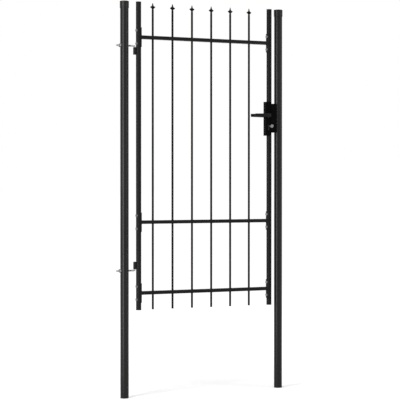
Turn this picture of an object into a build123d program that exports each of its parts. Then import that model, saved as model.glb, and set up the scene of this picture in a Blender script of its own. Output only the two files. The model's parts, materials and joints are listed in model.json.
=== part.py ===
from build123d import *
import os
from math import cos, pi, radians, sin, sqrt

# Single garden gate. X runs from the hinge post to the latch post, Y away from the street, Z up from
# the foot of the hinge post. Sizes are in millimetres.

# Posts
POST_SPACING = 1000.0
POST_RADIUS = 24.0
POST_WALL = 2.0
POST_HEIGHT = 2250.0
CAP_RADIUS = 26.0
CAP_HEIGHT = 42.0
CAP_TOP = 6.0
CAP_DOME = 3.0
CAP_GAP = 0.15
CAP_EDGE = 2.5
CAP_LIP = 3.0
CAP_GROOVE_WIDTH = 2.2
CAP_GROOVE_DEPTH = 1.0

# Leaf frame
LEAF_BOTTOM = 496.0
LEAF_TOP = 2248.0
STILE_RADIUS = 15.0
STILE_WALL = 1.5
HINGE_STILE_X = 88.0
LATCH_STILE_X = 938.0
PLUG_RIM = 4.0
PLUG_RIM_RADIUS = 15.6
PLUG_EDGE = 1.6
PLUG_DEPTH = 20.0
RAIL_Z = {"top": 2047.0, "middle": 996.0, "bottom": 593.0}
RAIL_DEPTH = 30.0
RAIL_HEIGHT = 20.0
RAIL_WALL = 1.5
RAIL_CORNER = 2.5

# Saddles between rails and stiles, and their bolts
SADDLE_THICK = 3.5
SADDLE_HEIGHT = 110.0
SADDLE_HALF_ANGLE = 72.0
SADDLE_CORNER = 9.0
SADDLE_BOLT_STEP = 37.5
BOLT_RADIUS = 4.0
BOLT_HOLE_RADIUS = 4.2
BOLT_HEAD_RADIUS = 9.5
BOLT_HEAD_HEIGHT = 3.6
BOLT_CROWN = 2.6
BOLT_SOCKET_FLATS = 5.0
BOLT_SOCKET_DEPTH = 2.2
INSERT_RADIUS = 5.5
INSERT_LENGTH = 13.0

# Pickets and spear heads
PICKET_COUNT = 6
PICKET_FIRST_X = 177.0
PICKET_PITCH = 125.0
PICKET_RADIUS = 6.0
PICKET_WALL = 1.2
PICKET_HOLE_GAP = 0.1
PICKET_BOTTOM = 497.0
PICKET_RIM = 2.0
SPEAR_TIP_Z = 2245.0
SPEAR_HEIGHT = 44.0
SPEAR_SPIGOT = 15.0

# Hinges: hook bolts through the hinge post, knuckles on the hinge stile
HINGE_X = 64.0
HOOK_RADIUS = 5.0
HOOK_BEND = 7.5
HOOK_OUTER_X = -50.0
PIN_GAP = 0.05
KNUCKLE_RADIUS = 9.0
KNUCKLE_HEIGHT = 41.0
KNUCKLE_WEB_HALF = 6.0
UPPER_KNUCKLE_Z = 1947.0
LOWER_KNUCKLE_Z = 730.0
HOOK_RISE = 8.0
PIN_OVERRUN = 2.0
WASHER_RADIUS = 10.0
WASHER_THICK = 2.0
NUT_FLATS = 17.0
NUT_THICK = 8.0

# Lock box on the latch stile
BOX_X = (909.0, 945.0)
BOX_HALF = 17.0
BOX_Z = (1499.0, 1699.0)
BOX_SHEET = 1.9
BOX_FOLD = 2.5
STILE_GAP = 0.1
LOCK_X = 923.0
LEVER_Z = 1619.0
KEY_Z = 1554.0

# Lock case inside the stile
CASE_X = (911.3, 947.0)
CASE_HALF = 8.0
CASE_Z = (1522.0, 1656.0)
CASE_SHEET = 1.2
CASE_STUD_RADIUS = 3.0
CASE_STUDS = ((917.0, 1650.0), (917.0, 1596.0), (941.0, 1530.0), (941.0, 1600.0))
WINDOW_GAP = 0.4
FACE_PLATE_X = (947.0, 950.0)
FACE_PLATE_HALF = 9.0
FACE_PLATE_Z = (1506.0, 1672.0)
FACE_SCREW_INSET = 8.0
FACE_SCREW_RADIUS = 2.5
FACE_SCREW_HEAD = 4.6

# Levers
SPINDLE_SIDE = 8.0
SPINDLE_HALF = 34.0
SPINDLE_GAP = 0.1
NECK_RADIUS = 8.5
NECK_START = 14.6
BUSH_RADIUS = 11.0
BUSH_RIM_RADIUS = 12.5
BUSH_RIM = 1.5
GRIP_OUT = 36.0
GRIP_TIP_OUT = 23.0
GRIP_TIP_X = 830.0
GRIP_STRAIGHT = 10.0
GRIP_THICK = 10.0
GRIP_HEIGHT = 21.0
GRIP_TIP_HEIGHT = 18.0
GRIP_EDGE = 3.2
GRUB_RADIUS = 2.5
GRUB_OUT = 27.0

# Follower and latch bolt
FOLLOWER_RADIUS = 10.0
FOLLOWER_HALF = 3.0
JOURNAL_RADIUS = 8.0
FINGER_LEAN = 38.0
FINGER_REACH = 16.0
FINGER_HALF = 2.5
LATCH_GAP = 0.3
LATCH_HALF = 6.0
LATCH_Z = (1626.0, 1646.0)
LATCH_HEAD_X = (944.0, 966.0)
LATCH_BEVEL = 9.0
LATCH_TAIL_HALF = 4.0
LATCH_BRIDGE_Z = 1639.0
LATCH_LEG = 3.0
LATCH_MOUTH = 13.4
LATCH_LEG_GAP = 0.6

# Cylinder, cam and deadbolt
CYLINDER_HALF = 22.0
CYLINDER_RADIUS = 8.5
CYLINDER_TAIL_HALF = 5.0
CYLINDER_TAIL = 19.5
CYLINDER_HOLE_GAP = 0.3
CAM_SLOT_HALF = 5.3
CAM_SLOT_FLOOR = 9.5
PLUG_RADIUS = 6.5
PLUG_NECK_RADIUS = 4.5
PLUG_PROUD = 0.4
CAM_RADIUS = 6.3
CAM_HALF = 4.8
CAM_LEAN = -45.0
CAM_REACH = 8.2
CAM_FINGER_HALF = 2.1
CYLINDER_SCREW_DROP = 14.0
CYLINDER_SCREW_LENGTH = 31.0
DEADBOLT_HALF = 4.4
DEADBOLT_LOW = 6.6
DEADBOLT_HEIGHT = 20.0
DEADBOLT_X = (912.7, 951.0)
DEADBOLT_NOTCH_HALF = 2.6
DEADBOLT_NOTCH_TOP = 11.4

# Key
KEY_THICK = 2.2
KEY_BLADE_HEIGHT = 8.0
KEY_GAP = 0.25
KEY_TIP_OUT = 6.6
BOW_OUT = (50.0, 76.0)
BOW_HEIGHT = 20.0
BOW_CORNER = 7.5
BOW_HOLE_OUT = 68.0
BOW_HOLE_RADIUS = 3.0

# Springs
SPRING_WIRE = 0.4
LATCH_SPRING_RADIUS = 3.0
LATCH_SPRING_TURNS = 4
LEVER_SPRING_RADIUS = 9.4
LEVER_SPRING_PITCH = 1.2
LEVER_SPRING_TURNS = 2

# Keep on the latch post
KEEP_X = (957.5, 976.0)
KEEP_LIP_X = 941.0
KEEP_HALF = 20.0
KEEP_Z = (1518.0, 1688.0)
KEEP_SHEET = 2.0
KEEP_SLOT_GAP = 2.0
KEEP_SCREW_INSET = 20.0
KEEP_SCREW_RADIUS = 3.0
KEEP_SCREW_HEAD = 5.5
KEEP_SCREW_LENGTH = 16.0
KEEP_ACCESS_RADIUS = 7.0

MIDDLE = (Align.CENTER, Align.CENTER, Align.CENTER)
nodes = {}


def block(x, y, z):
    """Box between pairs of limits."""
    middle = Pos((x[0] + x[1]) / 2, (y[0] + y[1]) / 2, (z[0] + z[1]) / 2)
    return middle * Box(x[1] - x[0], y[1] - y[0], z[1] - z[0], align=MIDDLE)


def rod_x(radius, x, z, y=0.0):
    """Round bar along X between two limits."""
    return Pos((x[0] + x[1]) / 2, y, z) * Rot(0, 90, 0) * Cylinder(radius, x[1] - x[0])


def rod_y(radius, y, x, z):
    """Round bar along Y between two limits."""
    return Pos(x, (y[0] + y[1]) / 2, z) * Rot(90, 0, 0) * Cylinder(radius, y[1] - y[0])


def rod_z(radius, z, x, y=0.0):
    """Round bar along Z between two limits."""
    return Pos(x, y, (z[0] + z[1]) / 2) * Cylinder(radius, z[1] - z[0])


def hexagon(flats):
    """Regular hexagon of a given size across its flats."""
    return RegularPolygon(flats / 2, 6, major_radius=False)


def across_y(sketch, half):
    """Prism of an outline drawn in X and Z, the same both sides of the leaf's middle plane."""
    return extrude(Plane.XZ * sketch, amount=half, both=True)


# Posts and caps

post_top = POST_HEIGHT - CAP_TOP
upper_hook_z = UPPER_KNUCKLE_Z + KNUCKLE_HEIGHT + HOOK_RISE
lower_hook_z = LOWER_KNUCKLE_Z - HOOK_RISE
keep_screw_z = (KEEP_Z[0] + KEEP_SCREW_INSET, KEEP_Z[1] - KEEP_SCREW_INSET)


def post(x):
    bore = rod_z(POST_RADIUS - POST_WALL, (0, post_top), x)
    return rod_z(POST_RADIUS, (0, post_top), x) - bore


def post_cap(x):
    """Push-on cap with a low dome, a rounded rim and a groove above its lower lip."""
    low = POST_HEIGHT - CAP_HEIGHT
    dome_radius = (CAP_RADIUS**2 + CAP_DOME**2) / (2 * CAP_DOME)
    outside = rod_z(CAP_RADIUS, (low, POST_HEIGHT), x)
    outside &= Pos(x, 0, POST_HEIGHT - dome_radius) * Sphere(dome_radius)
    circles = outside.edges().filter_by(GeomType.CIRCLE)
    rims = circles.filter_by(lambda edge: abs(edge.radius - CAP_RADIUS) < CAP_GAP)
    outside = fillet(rims.sort_by(Axis.Z)[-1], CAP_EDGE)
    groove_z = (low + CAP_LIP, low + CAP_LIP + CAP_GROOVE_WIDTH)
    groove = rod_z(2 * CAP_RADIUS, groove_z, x) - rod_z(CAP_RADIUS - CAP_GROOVE_DEPTH, groove_z, x)
    return outside - groove - rod_z(POST_RADIUS + CAP_GAP, (low, post_top), x)


hinge_post = post(0.0)
for hook_z in (upper_hook_z, lower_hook_z):
    hinge_post -= rod_x(HOOK_RADIUS + PIN_GAP, (-2 * POST_RADIUS, 2 * POST_RADIUS), hook_z)

latch_post = post(POST_SPACING)
for screw_z in keep_screw_z:
    latch_post -= rod_x(KEEP_SCREW_RADIUS, (KEEP_X[0], POST_SPACING), screw_z)

nodes["hinge_post"] = hinge_post
nodes["latch_post"] = latch_post
nodes["hinge_post_cap"] = post_cap(0.0)
nodes["latch_post_cap"] = post_cap(POST_SPACING)


# Hinges

def hook(rod_height, pin_end):
    """Hook bolt: a straight leg through the post, a tight bend and an upright pin."""
    path = FilletPolyline(
        (HOOK_OUTER_X, 0, rod_height), (HINGE_X, 0, rod_height), (HINGE_X, 0, pin_end), radius=HOOK_BEND
    )
    section = Plane(origin=path @ 0, z_dir=path % 0) * Circle(HOOK_RADIUS)
    return sweep(section, path=path)


def knuckle(low):
    """Bored barrel with a web that is shaped to the stile."""
    z = (low, low + KNUCKLE_HEIGHT)
    barrel = rod_z(KNUCKLE_RADIUS, z, HINGE_X)
    barrel += block((HINGE_X, HINGE_STILE_X), (-KNUCKLE_WEB_HALF, KNUCKLE_WEB_HALF), z)
    return barrel - rod_z(STILE_RADIUS, z, HINGE_STILE_X) - rod_z(HOOK_RADIUS + PIN_GAP, z, HINGE_X)


def washer(rod_height):
    x = (-POST_RADIUS - WASHER_THICK, -POST_RADIUS)
    return rod_x(WASHER_RADIUS, x, rod_height) - rod_x(HOOK_RADIUS, x, rod_height)


def nut(rod_height):
    x = -POST_RADIUS - WASHER_THICK - NUT_THICK
    blank = Pos(x, 0, rod_height) * Rot(0, 90, 0) * extrude(hexagon(NUT_FLATS), amount=NUT_THICK)
    return blank - rod_x(HOOK_RADIUS, (x, x + NUT_THICK), rod_height)


nodes["upper_hinge_hook"] = hook(upper_hook_z, UPPER_KNUCKLE_Z - PIN_OVERRUN)
nodes["lower_hinge_hook"] = hook(lower_hook_z, LOWER_KNUCKLE_Z + KNUCKLE_HEIGHT + PIN_OVERRUN)
nodes["hinge_washers"] = [washer(upper_hook_z), washer(lower_hook_z)]
nodes["hinge_nuts"] = [nut(upper_hook_z), nut(lower_hook_z)]
nodes["upper_knuckle"] = knuckle(UPPER_KNUCKLE_Z)
nodes["lower_knuckle"] = knuckle(LOWER_KNUCKLE_Z)


# Saddles, bolts and rails

saddle_radius = STILE_RADIUS + SADDLE_THICK
bolt_heights = [z + step for z in RAIL_Z.values() for step in (-SADDLE_BOLT_STEP, SADDLE_BOLT_STEP)]


def saddle(stile_x, facing, rail_z):
    """Curved plate that hugs the inner side of a stile; facing is 1 towards +X and -1 towards -X."""
    shell = Cylinder(saddle_radius, SADDLE_HEIGHT) - Cylinder(STILE_RADIUS, SADDLE_HEIGHT)
    reach = 4 * STILE_RADIUS
    edge = (reach * cos(radians(SADDLE_HALF_ANGLE)), reach * sin(radians(SADDLE_HALF_ANGLE)))
    wedge = Polygon((0, 0), (edge[0], -edge[1]), (reach, -edge[1]), (reach, edge[1]), edge, align=None)
    plate = shell & extrude(wedge, amount=SADDLE_HEIGHT / 2, both=True)
    corners = plate.edges().filter_by(lambda e: abs(e.length - SADDLE_THICK) < 0.01)
    plate = fillet(corners, SADDLE_CORNER)
    for step in (-SADDLE_BOLT_STEP, SADDLE_BOLT_STEP):
        plate -= rod_x(BOLT_RADIUS, (0, reach), step)
    turn = 0 if facing > 0 else 180
    return Pos(stile_x, 0, rail_z) * Rot(0, 0, turn) * plate


def button_bolt(seat_radius, seat_x, z, length):
    """Low button head bolt with its shank towards +X; the head is hollowed below to fit a round seat."""
    dome_radius = (BOLT_HEAD_RADIUS**2 + BOLT_CROWN**2) / (2 * BOLT_CROWN)
    column = seat_radius + BOLT_HEAD_HEIGHT
    head = Pos(0, 0, BOLT_HEAD_HEIGHT - column / 2) * Cylinder(BOLT_HEAD_RADIUS, column)
    head &= Pos(0, 0, BOLT_HEAD_HEIGHT - dome_radius) * Sphere(dome_radius)
    head -= Pos(0, 0, -seat_radius) * Rot(0, 90, 0) * Cylinder(seat_radius, 4 * BOLT_HEAD_RADIUS)
    socket = extrude(hexagon(BOLT_SOCKET_FLATS), amount=BOLT_SOCKET_DEPTH)
    head -= Pos(0, 0, BOLT_HEAD_HEIGHT - BOLT_SOCKET_DEPTH) * socket
    head += Pos(0, 0, -length / 2) * Cylinder(BOLT_RADIUS, length)
    return Pos(seat_x, 0, z) * Rot(0, -90, 0) * head


def threaded_insert(z):
    """Threaded sleeve set in the stile's wall, its outer end shaped to the tube."""
    sleeve = rod_x(INSERT_RADIUS, insert_x, z) - rod_x(BOLT_RADIUS, insert_x, z)
    return sleeve & rod_z(STILE_RADIUS, (z - STILE_RADIUS, z + STILE_RADIUS), LATCH_STILE_X)


def rail(z):
    """Rectangular tube, pierced for the pickets and shaped at both ends to the saddles."""
    section = Plane.YZ * RectangleRounded(RAIL_DEPTH, RAIL_HEIGHT, RAIL_CORNER)
    bore = Plane.YZ * RectangleRounded(
        RAIL_DEPTH - 2 * RAIL_WALL, RAIL_HEIGHT - 2 * RAIL_WALL, RAIL_CORNER - RAIL_WALL
    )
    length = LATCH_STILE_X - HINGE_STILE_X
    tube = Pos(HINGE_STILE_X, 0, z) * (extrude(section, amount=length) - extrude(bore, amount=length))
    ends = (z - RAIL_HEIGHT, z + RAIL_HEIGHT)
    for stile_x in (HINGE_STILE_X, LATCH_STILE_X):
        tube -= rod_z(saddle_radius, ends, stile_x)
    for x in picket_places:
        tube -= rod_z(PICKET_RADIUS + PICKET_HOLE_GAP, ends, x)
    return tube.solids().sort_by(SortBy.VOLUME)[-1]


picket_places = [PICKET_FIRST_X + i * PICKET_PITCH for i in range(PICKET_COUNT)]
for name, rail_z in RAIL_Z.items():
    nodes[f"{name}_rail"] = rail(rail_z)
    nodes[f"{name}_hinge_saddle"] = saddle(HINGE_STILE_X, 1, rail_z)
    nodes[f"{name}_latch_saddle"] = saddle(LATCH_STILE_X, -1, rail_z)

hinge_seat = HINGE_STILE_X - STILE_RADIUS
latch_seat = LATCH_STILE_X - saddle_radius
through_length = 2 * STILE_RADIUS + SADDLE_THICK
insert_x = (LATCH_STILE_X - STILE_RADIUS, LATCH_STILE_X - STILE_RADIUS + INSERT_LENGTH)
short_length = SADDLE_THICK + INSERT_LENGTH
nodes["hinge_side_bolts"] = [
    button_bolt(STILE_RADIUS, hinge_seat, z, through_length) for z in bolt_heights
]
nodes["latch_side_bolts"] = [
    button_bolt(saddle_radius, latch_seat, z, short_length) for z in bolt_heights
]
nodes["threaded_inserts"] = [threaded_insert(z) for z in bolt_heights]


# Pickets and spear heads

def picket(x):
    z = (PICKET_BOTTOM + PICKET_RIM, SPEAR_TIP_Z - SPEAR_HEIGHT)
    return rod_z(PICKET_RADIUS, z, x) - rod_z(PICKET_RADIUS - PICKET_WALL, z, x)


def picket_plug(x):
    rim = rod_z(PICKET_RADIUS, (PICKET_BOTTOM, PICKET_BOTTOM + PICKET_RIM), x)
    return rim + rod_z(PICKET_RADIUS - PICKET_WALL, (PICKET_BOTTOM, PICKET_BOTTOM + PLUG_DEPTH / 2), x)


def spear(x):
    """Forged head with a slim point, two round barbs and a neck, tapered from a ridge to its edges."""
    tip = (1.2, 0)
    shoulder = (5.0, -14.0)
    barb_top = (13.2, -20.0)
    barb_end = (16.3, -24.0)
    barb_low = (13.2, -28.0)
    neck = (5.4, -36.0)
    foot = (5.8, -SPEAR_HEIGHT)
    half = make_face(
        Line((0, 0), tip)
        + Line(tip, shoulder)
        + ThreePointArc(shoulder, (8.0, -18.2), barb_top)
        + ThreePointArc(barb_top, barb_end, barb_low)
        + ThreePointArc(barb_low, (8.2, -30.2), neck)
        + Line(neck, foot)
        + Line(foot, (0, -SPEAR_HEIGHT))
        + Line((0, -SPEAR_HEIGHT), (0, 0))
    )
    blade = across_y(half + mirror(half, about=Plane.YZ), 2 * PICKET_RADIUS)
    edge, ridge, wide = 2.8, 5.8, 16.6
    plan = Polygon(
        (wide, edge), (0, ridge), (-wide, edge), (-wide, -edge), (0, -ridge), (wide, -edge), align=None
    )
    blade &= Pos(0, 0, -SPEAR_HEIGHT) * extrude(plan, amount=SPEAR_HEIGHT)
    side = Polygon(
        (1.0, 0), (4.2, -14.0), (ridge, -24.0), (5.2, -36.0), (ridge, -SPEAR_HEIGHT),
        (-ridge, -SPEAR_HEIGHT), (-5.2, -36.0), (-ridge, -24.0), (-4.2, -14.0), (-1.0, 0), align=None,
    )
    blade &= extrude(Plane.YZ * side, amount=wide, both=True)
    blade += rod_z(PICKET_RADIUS - PICKET_WALL, (-SPEAR_HEIGHT - SPEAR_SPIGOT, -SPEAR_HEIGHT), 0)
    return Pos(x, 0, SPEAR_TIP_Z) * blade


for number, x in enumerate(picket_places, start=1):
    nodes[f"picket_{number}"] = picket(x)
    nodes[f"spear_{number}"] = spear(x)
nodes["picket_plugs"] = [picket_plug(x) for x in picket_places]


# Profile of the lock cylinder, drawn about its turning axis

def cylinder_profile(gap=0.0):
    profile = Circle(CYLINDER_RADIUS + gap)
    profile += Pos(0, -CYLINDER_TAIL / 2) * Rectangle(2 * (CYLINDER_TAIL_HALF + gap), CYLINDER_TAIL)
    profile += Pos(0, -CYLINDER_TAIL) * Circle(CYLINDER_TAIL_HALF + gap)
    return Pos(LOCK_X, KEY_Z) * profile


cylinder_hole = across_y(cylinder_profile(CYLINDER_HOLE_GAP), 2 * CYLINDER_HALF)
lever_hole = rod_y(BUSH_RADIUS, (-2 * BOX_HALF, 2 * BOX_HALF), LOCK_X, LEVER_Z)
face_screw_z = (FACE_PLATE_Z[0] + FACE_SCREW_INSET, FACE_PLATE_Z[1] - FACE_SCREW_INSET)


# Stiles

def stile(x):
    z = (LEAF_BOTTOM + PLUG_RIM, LEAF_TOP - PLUG_RIM)
    return rod_z(STILE_RADIUS, z, x) - rod_z(STILE_RADIUS - STILE_WALL, z, x)


def stile_plug(x, end, inward):
    """End plug: a rim over the tube's end and a spigot inside; inward is 1 upwards and -1 downwards."""
    rim = rod_z(PLUG_RIM_RADIUS, sorted((end, end + inward * PLUG_RIM)), x)
    outer = rim.edges().sort_by(Axis.Z)[0 if inward > 0 else -1]
    spigot = sorted((end, end + inward * PLUG_DEPTH))
    return fillet(outer, PLUG_EDGE) + rod_z(STILE_RADIUS - STILE_WALL, spigot, x)


hinge_stile = stile(HINGE_STILE_X)
latch_stile = stile(LATCH_STILE_X)
for z in bolt_heights:
    hinge_stile -= rod_x(BOLT_HOLE_RADIUS, (hinge_seat, hinge_seat + through_length), z)
    latch_stile -= rod_x(INSERT_RADIUS, insert_x, z)

window_half = CASE_HALF + WINDOW_GAP
plate_half = FACE_PLATE_HALF + WINDOW_GAP
latch_stile -= block(
    (CASE_X[0], FACE_PLATE_X[1]), (-window_half, window_half),
    (CASE_Z[0] - WINDOW_GAP, CASE_Z[1] + WINDOW_GAP),
)
latch_stile -= block(
    (FACE_PLATE_X[0], LATCH_STILE_X + 2 * STILE_RADIUS), (-plate_half, plate_half),
    (FACE_PLATE_Z[0] - WINDOW_GAP, FACE_PLATE_Z[1] + WINDOW_GAP),
)
latch_stile -= cylinder_hole
latch_stile -= lever_hole
for z in face_screw_z:
    latch_stile -= rod_x(FACE_SCREW_RADIUS, (BOX_X[0], LATCH_STILE_X), z)

nodes["hinge_stile"] = hinge_stile
nodes["latch_stile"] = latch_stile
nodes["stile_plugs"] = [
    stile_plug(x, end, inward)
    for x in (HINGE_STILE_X, LATCH_STILE_X)
    for end, inward in ((LEAF_BOTTOM, 1), (LEAF_TOP, -1))
]


# Lock box, case, cover and face plate

def lock_box():
    """Folded sheet cover that hugs the stile from its inner side."""
    shell = block(BOX_X, (-BOX_HALF, BOX_HALF), BOX_Z)
    folds = shell.edges().filter_by(Axis.Z).group_by(Axis.X)[0]
    shell = fillet(folds, BOX_FOLD)
    half = BOX_HALF - BOX_SHEET
    shell -= block(
        (BOX_X[0] + BOX_SHEET, 2 * BOX_X[1]), (-half, half), (BOX_Z[0] + BOX_SHEET, BOX_Z[1] - BOX_SHEET)
    )
    shell -= rod_z(STILE_RADIUS + STILE_GAP, BOX_Z, LATCH_STILE_X)
    return (shell - lever_hole - cylinder_hole).solids().sort_by(SortBy.VOLUME)[-1]


journal_hole = rod_y(JOURNAL_RADIUS + PIN_GAP, (-2 * BOX_HALF, 2 * BOX_HALF), LOCK_X, LEVER_Z)


def lock_case():
    """Open tray on the far side of the lock, with studs that the cover is riveted to."""
    inside = CASE_HALF - CASE_SHEET
    tray = block(CASE_X, (-inside, CASE_HALF), CASE_Z)
    tray -= block(
        (CASE_X[0] + CASE_SHEET, 2 * CASE_X[1]), (-CASE_HALF, inside),
        (CASE_Z[0] + CASE_SHEET, CASE_Z[1] - CASE_SHEET),
    )
    for x, z in CASE_STUDS:
        tray += rod_y(CASE_STUD_RADIUS, (-CASE_HALF, CASE_HALF), x, z)
    return tray - journal_hole - cylinder_hole


def lock_cover():
    plate = block(CASE_X, (-CASE_HALF, CASE_SHEET - CASE_HALF), CASE_Z)
    for x, z in CASE_STUDS:
        plate -= rod_y(CASE_STUD_RADIUS, (-CASE_HALF, CASE_HALF), x, z)
    return plate - journal_hole - cylinder_hole


def face_plate():
    """Plate on the closing edge, with openings for the bolts and countersunk screw holes."""
    height = FACE_PLATE_Z[1] - FACE_PLATE_Z[0]
    outline = RectangleRounded(2 * FACE_PLATE_HALF, height, FACE_PLATE_HALF - 0.1)
    centre = Pos(FACE_PLATE_X[0], 0, (FACE_PLATE_Z[0] + FACE_PLATE_Z[1]) / 2)
    plate = centre * extrude(Plane.YZ * outline, amount=FACE_PLATE_X[1] - FACE_PLATE_X[0])
    latch_half = LATCH_HALF + LATCH_GAP
    latch_open = (LATCH_Z[0] - LATCH_GAP, LATCH_Z[1] + LATCH_GAP)
    plate -= block(FACE_PLATE_X, (-latch_half, latch_half), latch_open)
    dead_half = DEADBOLT_HALF + LATCH_GAP
    dead_open = (deadbolt_z[0] - LATCH_GAP, deadbolt_z[1] + LATCH_GAP)
    plate -= block(FACE_PLATE_X, (-dead_half, dead_half), dead_open)
    for z in face_screw_z + (cylinder_screw_z,):
        plate -= face_screw(z, FACE_PLATE_X[1] - FACE_PLATE_X[0])
    return plate


def face_screw(z, length):
    """Countersunk screw, its head flush with the outside of the face plate."""
    tip = FACE_PLATE_X[1] - length
    shank = rod_x(FACE_SCREW_RADIUS, (tip, FACE_PLATE_X[1]), z)
    depth = FACE_SCREW_HEAD - FACE_SCREW_RADIUS
    head = Rot(0, 90, 0) * Cone(FACE_SCREW_RADIUS, FACE_SCREW_HEAD, depth)
    return shank + Pos(FACE_PLATE_X[1] - depth / 2, 0, z) * head


deadbolt_z = (KEY_Z + DEADBOLT_LOW, KEY_Z + DEADBOLT_LOW + DEADBOLT_HEIGHT)
cylinder_screw_z = KEY_Z - CYLINDER_SCREW_DROP
face_screw_length = FACE_PLATE_X[1] - LATCH_STILE_X + STILE_RADIUS
nodes["lock_box"] = lock_box()
nodes["lock_case"] = lock_case()
nodes["lock_cover"] = lock_cover()
nodes["lock_face_plate"] = face_plate()
nodes["face_plate_screws"] = [face_screw(z, face_screw_length) for z in face_screw_z]


# Levers, spindle, follower and latch bolt

def square_bar(side, half):
    return block(
        (LOCK_X - side / 2, LOCK_X + side / 2), (-half, half), (LEVER_Z - side / 2, LEVER_Z + side / 2)
    )


spindle_hole = square_bar(SPINDLE_SIDE + 2 * SPINDLE_GAP, SPINDLE_HALF)


def front_lever():
    """Round neck and a flat grip that curves back towards the leaf at its tip."""
    start = LOCK_X - GRIP_STRAIGHT
    run = start - GRIP_TIP_X
    drop = GRIP_OUT - GRIP_TIP_OUT
    bend = (run**2 + drop**2) / (2 * drop)
    end = (GRIP_TIP_X, -GRIP_TIP_OUT, LEVER_Z)
    half_way = (start - run / 2, -GRIP_OUT + bend - sqrt(bend**2 - (run / 2) ** 2), LEVER_Z)
    path = Line((LOCK_X + NECK_RADIUS, -GRIP_OUT, LEVER_Z), (start, -GRIP_OUT, LEVER_Z))
    path += ThreePointArc((start, -GRIP_OUT, LEVER_Z), half_way, end)
    section = Plane(origin=path @ 0, x_dir=(0, 1, 0), z_dir=path % 0) * Rectangle(GRIP_THICK, GRIP_HEIGHT)
    grip = sweep(section, path=path)
    reach = 2 * GRIP_OUT
    outline = Polygon(
        (LOCK_X + reach, -GRIP_HEIGHT / 2), (LOCK_X + reach, GRIP_HEIGHT / 2), (LOCK_X, GRIP_HEIGHT / 2),
        (GRIP_TIP_X - GRIP_THICK, GRIP_TIP_HEIGHT / 2), (GRIP_TIP_X - GRIP_THICK, -GRIP_TIP_HEIGHT / 2),
        (LOCK_X, -GRIP_HEIGHT / 2), align=None,
    )
    grip &= Pos(0, 0, LEVER_Z) * across_y(outline, reach)
    grip = fillet(grip.edges(), GRIP_EDGE)
    neck = rod_y(NECK_RADIUS, (-GRIP_OUT, -NECK_START), LOCK_X, LEVER_Z)
    screw_hole = rod_z(GRUB_RADIUS, (LEVER_Z - NECK_RADIUS, LEVER_Z), LOCK_X, -GRUB_OUT)
    return neck + grip - spindle_hole - screw_hole


def lever_bush(side):
    """Flanged bush in the wall of the lock box; side is -1 at the front and 1 at the rear."""
    body = sorted((side * (BOX_HALF - BOX_SHEET), side * (BOX_HALF + BUSH_RIM)))
    rim = sorted((side * BOX_HALF, side * (BOX_HALF + BUSH_RIM)))
    bush = rod_y(BUSH_RADIUS, body, LOCK_X, LEVER_Z) + rod_y(BUSH_RIM_RADIUS, rim, LOCK_X, LEVER_Z)
    return bush - rod_y(NECK_RADIUS + PIN_GAP, body, LOCK_X, LEVER_Z)


def grub_screw(side):
    z = (LEVER_Z - NECK_RADIUS + 0.5, LEVER_Z - SPINDLE_SIDE / 2)
    return rod_z(GRUB_RADIUS, z, LOCK_X, side * GRUB_OUT)


def finger(reach, lean, half):
    """Round-ended arm from the axis, drawn in X and Z and leaning towards +X."""
    arm = Pos(0, reach / 2) * Rectangle(2 * half, reach) + Pos(0, reach) * Circle(half)
    return Rot(0, 0, -lean) * arm


def follower():
    hub = rod_y(FOLLOWER_RADIUS, (-FOLLOWER_HALF, FOLLOWER_HALF), LOCK_X, LEVER_Z)
    hub += rod_y(JOURNAL_RADIUS, (-CASE_HALF, CASE_HALF), LOCK_X, LEVER_Z)
    arm = finger(FINGER_REACH, FINGER_LEAN, FINGER_HALF)
    hub += Pos(LOCK_X, 0, LEVER_Z) * across_y(arm, FOLLOWER_HALF)
    return hub - spindle_hole


latch_leg_x = LOCK_X + FINGER_REACH * sin(radians(FINGER_LEAN)) - FINGER_HALF - LATCH_LEG_GAP


def latch_bolt():
    """Bevelled head, and a tail that bridges the follower's finger and ends in the leg it pushes."""
    head = block(LATCH_HEAD_X, (-LATCH_HALF, LATCH_HALF), LATCH_Z)
    bevel = Polygon(
        (LATCH_HEAD_X[1] - LATCH_BEVEL, -LATCH_HALF), (LATCH_HEAD_X[1], -LATCH_HALF),
        (LATCH_HEAD_X[1], LATCH_HALF / 2), align=None,
    )
    head -= Pos(0, 0, LATCH_Z[0]) * extrude(bevel, amount=LATCH_Z[1] - LATCH_Z[0])
    tail_top = LATCH_Z[1] - 1.0
    tail = (-LATCH_TAIL_HALF, LATCH_TAIL_HALF)
    head += block((latch_leg_x - LATCH_LEG, LATCH_HEAD_X[0]), tail, (LATCH_BRIDGE_Z, tail_top))
    return head + block((latch_leg_x - LATCH_LEG, latch_leg_x), tail, (LEVER_Z + LATCH_MOUTH, tail_top))


nodes["front_lever"] = front_lever()
nodes["rear_lever"] = mirror(nodes["front_lever"], about=Plane.XZ)
nodes["lever_bushes"] = [lever_bush(-1), lever_bush(1)]
nodes["lever_grub_screws"] = [grub_screw(-1), grub_screw(1)]
nodes["spindle"] = square_bar(SPINDLE_SIDE, SPINDLE_HALF)
nodes["follower"] = follower()
nodes["latch_bolt"] = latch_bolt()


# Springs inside the case

def coil(radius, pitch, turns):
    path = Helix(pitch, pitch * turns, radius)
    section = Plane(origin=path @ 0, z_dir=path % 0) * Circle(SPRING_WIRE)
    return sweep(section, path=path, is_frenet=True)


def latch_spring():
    room = (CASE_X[0] + CASE_SHEET, latch_leg_x - LATCH_LEG)
    length = room[1] - room[0] - 2 * SPRING_WIRE - 2 * LATCH_GAP
    spring = coil(LATCH_SPRING_RADIUS, length / LATCH_SPRING_TURNS, LATCH_SPRING_TURNS)
    z = (LEVER_Z + LATCH_MOUTH + LATCH_Z[1]) / 2
    return Pos(room[0] + SPRING_WIRE + LATCH_GAP, 0, z) * Rot(0, 90, 0) * spring


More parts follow.
